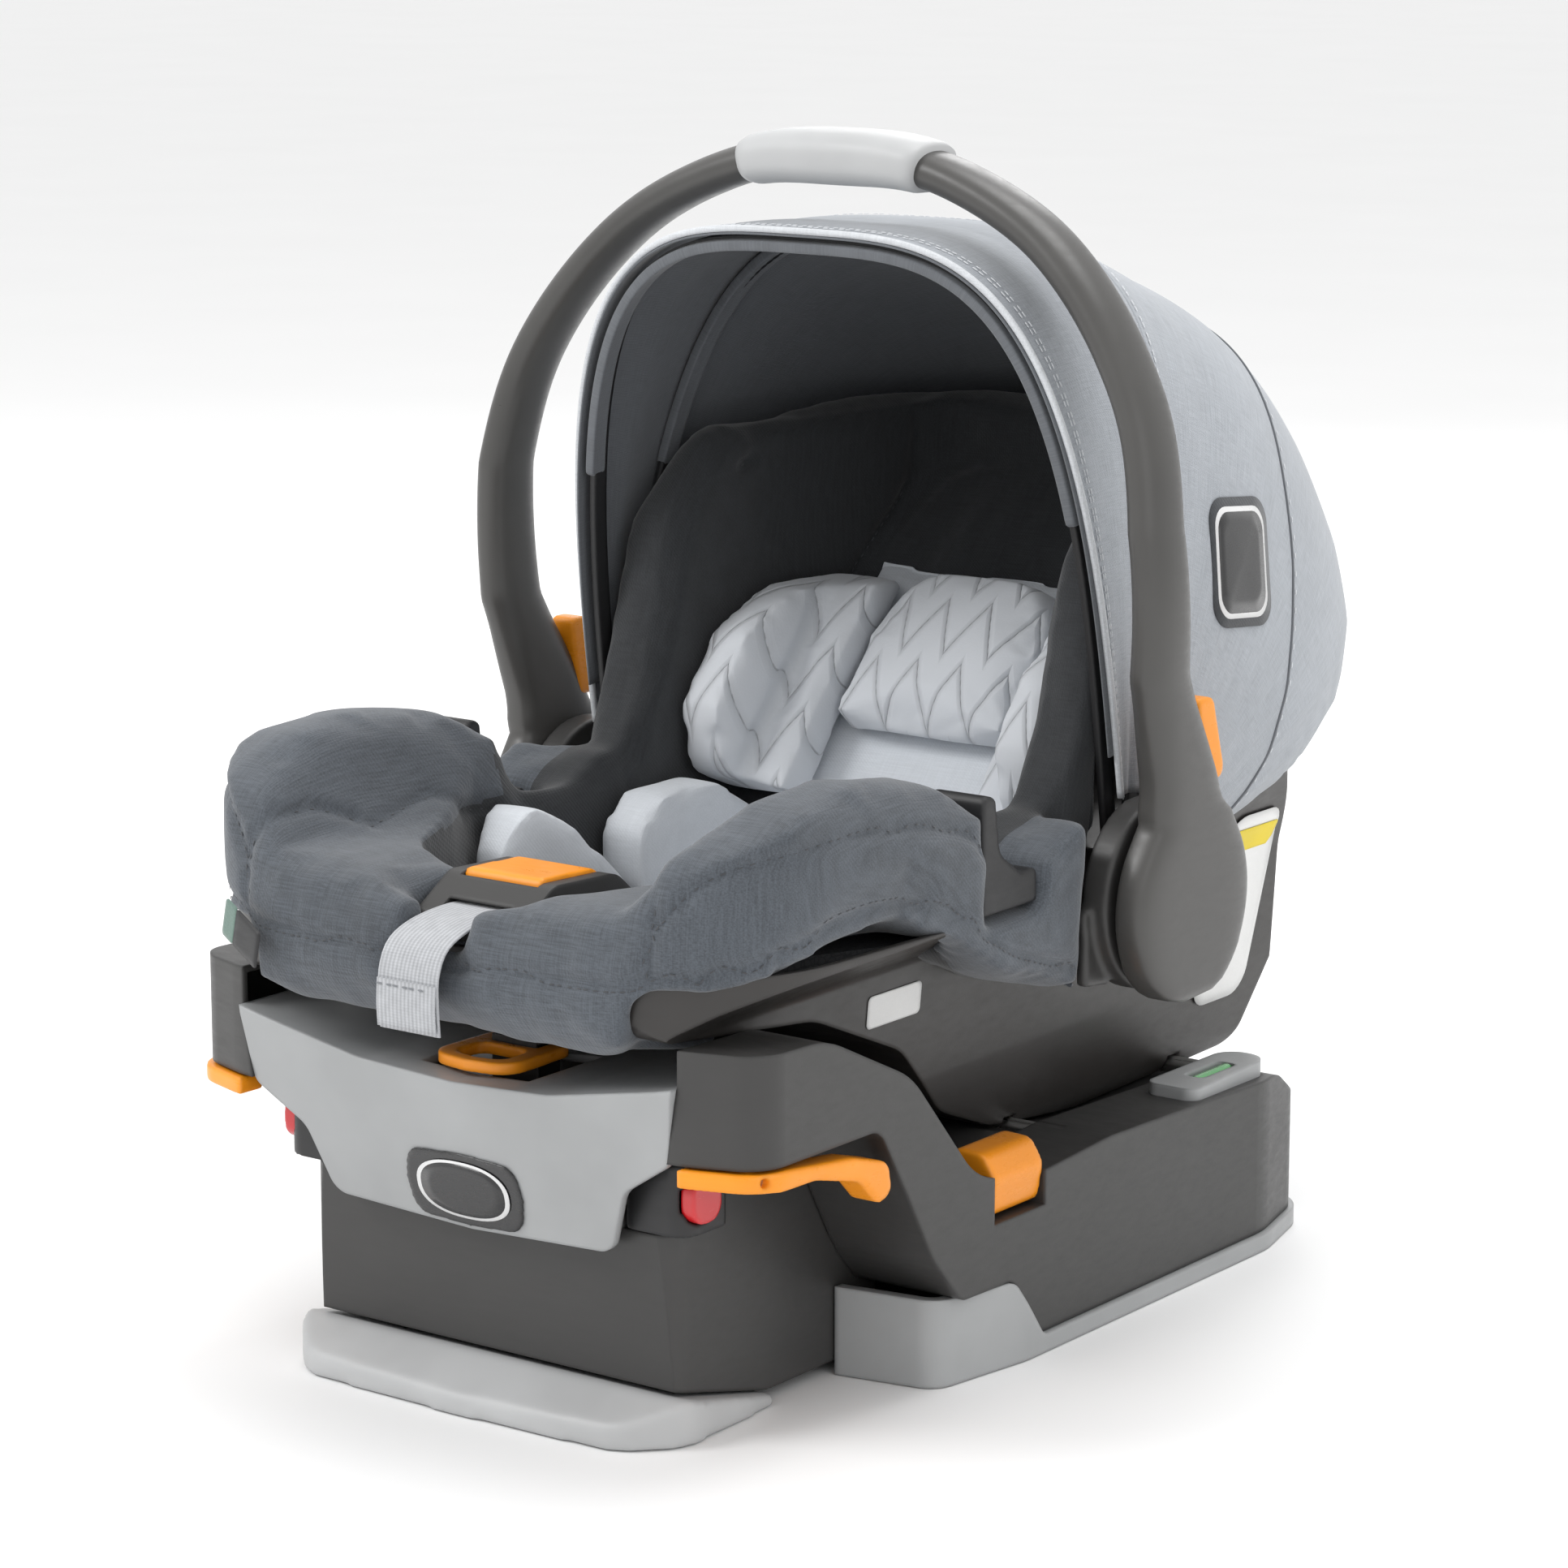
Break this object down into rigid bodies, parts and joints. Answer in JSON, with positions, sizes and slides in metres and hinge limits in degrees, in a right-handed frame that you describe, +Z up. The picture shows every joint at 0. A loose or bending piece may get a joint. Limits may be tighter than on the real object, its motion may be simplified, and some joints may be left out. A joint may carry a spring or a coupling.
{
  "type": "infant car seat",
  "caption": "Rear-facing infant carrier with folding canopy, swinging carry handle and padded newborn insert, standing in a levelling base.",
  "frame": {"origin": "on the floor, on the middle plane, under the middle of the base's tray", "axes": "+Z up, -Y towards the foot end, +Y towards the head end, +X to the right of a person facing the foot end"},
  "size_m": [0.4454, 0.7017, 0.608],
  "materials": {
    "dark_plastic": "satin moulded, fine grain",
    "black_plastic": "satin",
    "light_plastic": "satin moulded",
    "orange_plastic": "satin",
    "red_plastic": "gloss",
    "green_vial": "clear",
    "steel": "plated",
    "foam": "expanded bead foam",
    "pad_fabric": "twill",
    "canopy_fabric": "heathered weave",
    "insert_fabric": "brushed knit",
    "webbing": "woven webbing",
    "badge": "gloss"
  },
  "bodies": {
    "base": {"base_casing": "dark_plastic", "base_tray": "light_plastic", "base_screws": "steel", "front_box": "dark_plastic", "front_panel": "light_plastic", "front_badge": "badge", "receiver_bars": "steel", "level_covers": "light_plastic", "level_vials": "green_vial", "lockoff_pins": "steel", "latch_webbing": "webbing", "foot_lever_pins": "steel", "foot_guide": "dark_plastic"},
    "lockoff_right": {"lockoff_right": "orange_plastic"},
    "lockoff_left": {"lockoff_left": "orange_plastic"},
    "latch_right": {"latch_connector_right": "black_plastic"},
    "latch_left": {"latch_connector_left": "black_plastic"},
    "latch_button_right": {"latch_button_right": "red_plastic"},
    "latch_button_left": {"latch_button_left": "red_plastic"},
    "foot_lever_right": {"foot_lever_right": "orange_plastic"},
    "foot_lever_left": {"foot_lever_left": "orange_plastic"},
    "levelling_foot": {"levelling_foot": "light_plastic"},
    "tightener": {"tightener_loop": "orange_plastic", "tightener_webbing": "black_plastic"},
    "carrier": {"seat_shell": "dark_plastic", "foam_liner": "foam", "seat_pad": "pad_fabric", "pivot_pins": "steel", "belt_guides": "black_plastic", "hub_sockets": "dark_plastic", "adjuster_housing": "dark_plastic", "adjuster_strap": "webbing", "shoulder_straps": "webbing", "splitter_plate": "steel", "crotch_buckle": "black_plastic", "crotch_strap": "webbing", "body_insert": "insert_fabric", "thigh_bolsters": "insert_fabric", "hip_bolsters": "insert_fabric", "head_pillow_centre": "insert_fabric", "head_pillow_lobe_right": "insert_fabric", "head_pillow_lobe_left": "insert_fabric", "latch_hook_pins": "steel", "canopy_rear_panel": "canopy_fabric"},
    "adjuster_button": {"adjuster_button": "orange_plastic"},
    "buckle_button": {"buckle_button": "red_plastic"},
    "middle_bow": {"canopy_middle_bow": "black_plastic", "canopy_middle_panel": "canopy_fabric"},
    "front_bow": {"canopy_front_bow": "black_plastic", "canopy_front_panel": "canopy_fabric"},
    "handle": {"handle_bow": "dark_plastic", "handle_grip": "light_plastic", "handle_lock_rings": "steel"},
    "handle_button_right": {"handle_button_right": "orange_plastic"},
    "handle_button_left": {"handle_button_left": "orange_plastic"},
    "release": {"release_handle": "dark_plastic", "release_link": "steel"},
    "latch_hook_right": {"latch_hook_right": "steel"},
    "latch_hook_left": {"latch_hook_left": "steel"}
  },
  "joints": [
    {"name": "carrier_lift", "type": "slide", "parent": "base", "child": "carrier", "axis": [0, 0, 1], "range_m": [0, 0.25]},
    {"name": "levelling_foot_travel", "type": "slide", "parent": "base", "child": "levelling_foot", "axis": [0, 0, -1], "range_m": [0, 0.035]},
    {"name": "foot_lever_right_squeeze", "type": "hinge", "parent": "base", "child": "foot_lever_right", "pos_m": [0.155, -0.236, 0.1435], "axis": [1, 0, 0], "range_deg": [0, 4.5], "stiffness_Nm_per_rad": 2},
    {"name": "foot_lever_left_squeeze", "type": "hinge", "parent": "base", "child": "foot_lever_left", "pos_m": [-0.155, -0.236, 0.1435], "axis": [1, 0, 0], "range_deg": [0, 4.5], "stiffness_Nm_per_rad": 2},
    {"name": "lockoff_right_flip", "type": "hinge", "parent": "base", "child": "lockoff_right", "pos_m": [0.169, -0.024, 0.085], "axis": [0, 1, 0], "range_deg": [0, 70]},
    {"name": "lockoff_left_flip", "type": "hinge", "parent": "base", "child": "lockoff_left", "pos_m": [-0.169, -0.024, 0.085], "axis": [0, -1, 0], "range_deg": [0, 70]},
    {"name": "latch_right_unclip", "type": "slide", "parent": "base", "child": "latch_right", "axis": [1, 0, 0], "range_m": [0, 0.016]},
    {"name": "latch_left_unclip", "type": "slide", "parent": "base", "child": "latch_left", "axis": [-1, 0, 0], "range_m": [0, 0.016]},
    {"name": "latch_button_right_press", "type": "slide", "parent": "latch_right", "child": "latch_button_right", "axis": [-1, 0, 0], "range_m": [0, 0.003], "stiffness_N_per_m": 400},
    {"name": "latch_button_left_press", "type": "slide", "parent": "latch_left", "child": "latch_button_left", "axis": [1, 0, 0], "range_m": [0, 0.003], "stiffness_N_per_m": 400},
    {"name": "tightener_pull", "type": "slide", "parent": "base", "child": "tightener", "axis": [0, 0, 1], "range_m": [0, 0.012]},
    {"name": "handle_swing", "type": "hinge", "parent": "carrier", "child": "handle", "pos_m": [0, 0.082, 0.225], "axis": [1, 0, 0], "range_deg": [-95, 54]},
    {"name": "handle_button_right_press", "type": "slide", "parent": "handle", "child": "handle_button_right", "axis": [0, -1, 0], "range_m": [0, 0.004], "stiffness_N_per_m": 600},
    {"name": "handle_button_left_press", "type": "slide", "parent": "handle", "child": "handle_button_left", "axis": [0, -1, 0], "range_m": [0, 0.004], "stiffness_N_per_m": 600},
    {"name": "canopy_middle_fold", "type": "hinge", "parent": "carrier", "child": "middle_bow", "pos_m": [0, 0.082, 0.225], "axis": [-1, 0, 0], "range_deg": [0, 45]},
    {"name": "canopy_front_fold", "type": "hinge", "parent": "middle_bow", "child": "front_bow", "pos_m": [0, 0.082, 0.225], "axis": [-1, 0, 0], "range_deg": [0, 17]},
    {"name": "adjuster_button_press", "type": "slide", "parent": "carrier", "child": "adjuster_button", "axis": [0, 0, -1], "range_m": [0, 0.004], "stiffness_N_per_m": 600},
    {"name": "buckle_button_press", "type": "slide", "parent": "carrier", "child": "buckle_button", "axis": [0, -0.3003, -0.9538], "range_m": [0, 0.003], "stiffness_N_per_m": 800},
    {"name": "release_pull", "type": "slide", "parent": "carrier", "child": "release", "axis": [0, 0, 1], "range_m": [0, 0.01], "stiffness_N_per_m": 900},
    {"name": "latch_hook_right_turn", "type": "hinge", "parent": "carrier", "child": "latch_hook_right", "pos_m": [0.06, 0.252, 0.122], "axis": [1, 0, 0], "range_deg": [0, 12]},
    {"name": "latch_hook_left_turn", "type": "hinge", "parent": "carrier", "child": "latch_hook_left", "pos_m": [-0.06, 0.252, 0.122], "axis": [1, 0, 0], "range_deg": [0, 12]}
  ],
  "couplings": [
    {"joint": "canopy_front_fold", "follows": "canopy_middle_fold", "ratio": 0.37778},
    {"joint": "foot_lever_left_squeeze", "follows": "foot_lever_right_squeeze", "ratio": 1},
    {"joint": "latch_hook_right_turn", "follows": "release_pull", "rad_per_m": 20.9},
    {"joint": "latch_hook_left_turn", "follows": "release_pull", "rad_per_m": 20.9}
  ]
}
